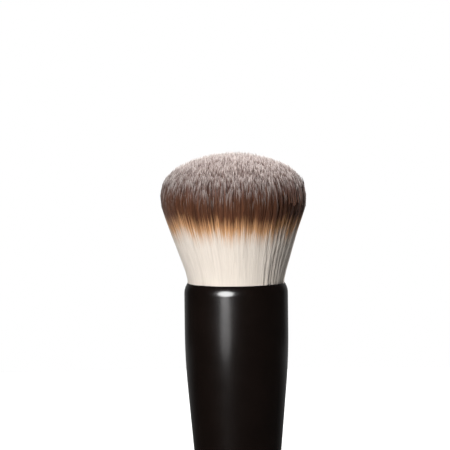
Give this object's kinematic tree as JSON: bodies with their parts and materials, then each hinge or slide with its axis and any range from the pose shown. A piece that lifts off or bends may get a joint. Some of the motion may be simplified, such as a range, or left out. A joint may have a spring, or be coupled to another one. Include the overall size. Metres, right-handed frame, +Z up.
{
  "type": "foundation brush",
  "caption": "Foundation brush with a dense domed tuft of synthetic filaments, flaring from the rounded mouth of a tapered black handle that stands on its flat end.",
  "frame": {"origin": "centre of the handle's flat end, on the surface that the brush stands on", "axes": "+Z up along the brush, towards the top of the tuft; the brush is round, so X and Y are free"},
  "size_m": [0.0364, 0.0364, 0.121],
  "materials": {
    "handle_lacquer": "satin gloss black lacquer",
    "cup_metal": "drawn, plain",
    "root_resin": "cast resin",
    "filaments": "tapered synthetic filaments, cream at the root, tan and dark brown above, grey-mauve towards pale tips"
  },
  "bodies": {
    "root": {"handle": "handle_lacquer", "knot_cup": "cup_metal", "glue_plug": "root_resin", "tuft": "filaments"}
  },
  "joints": []
}
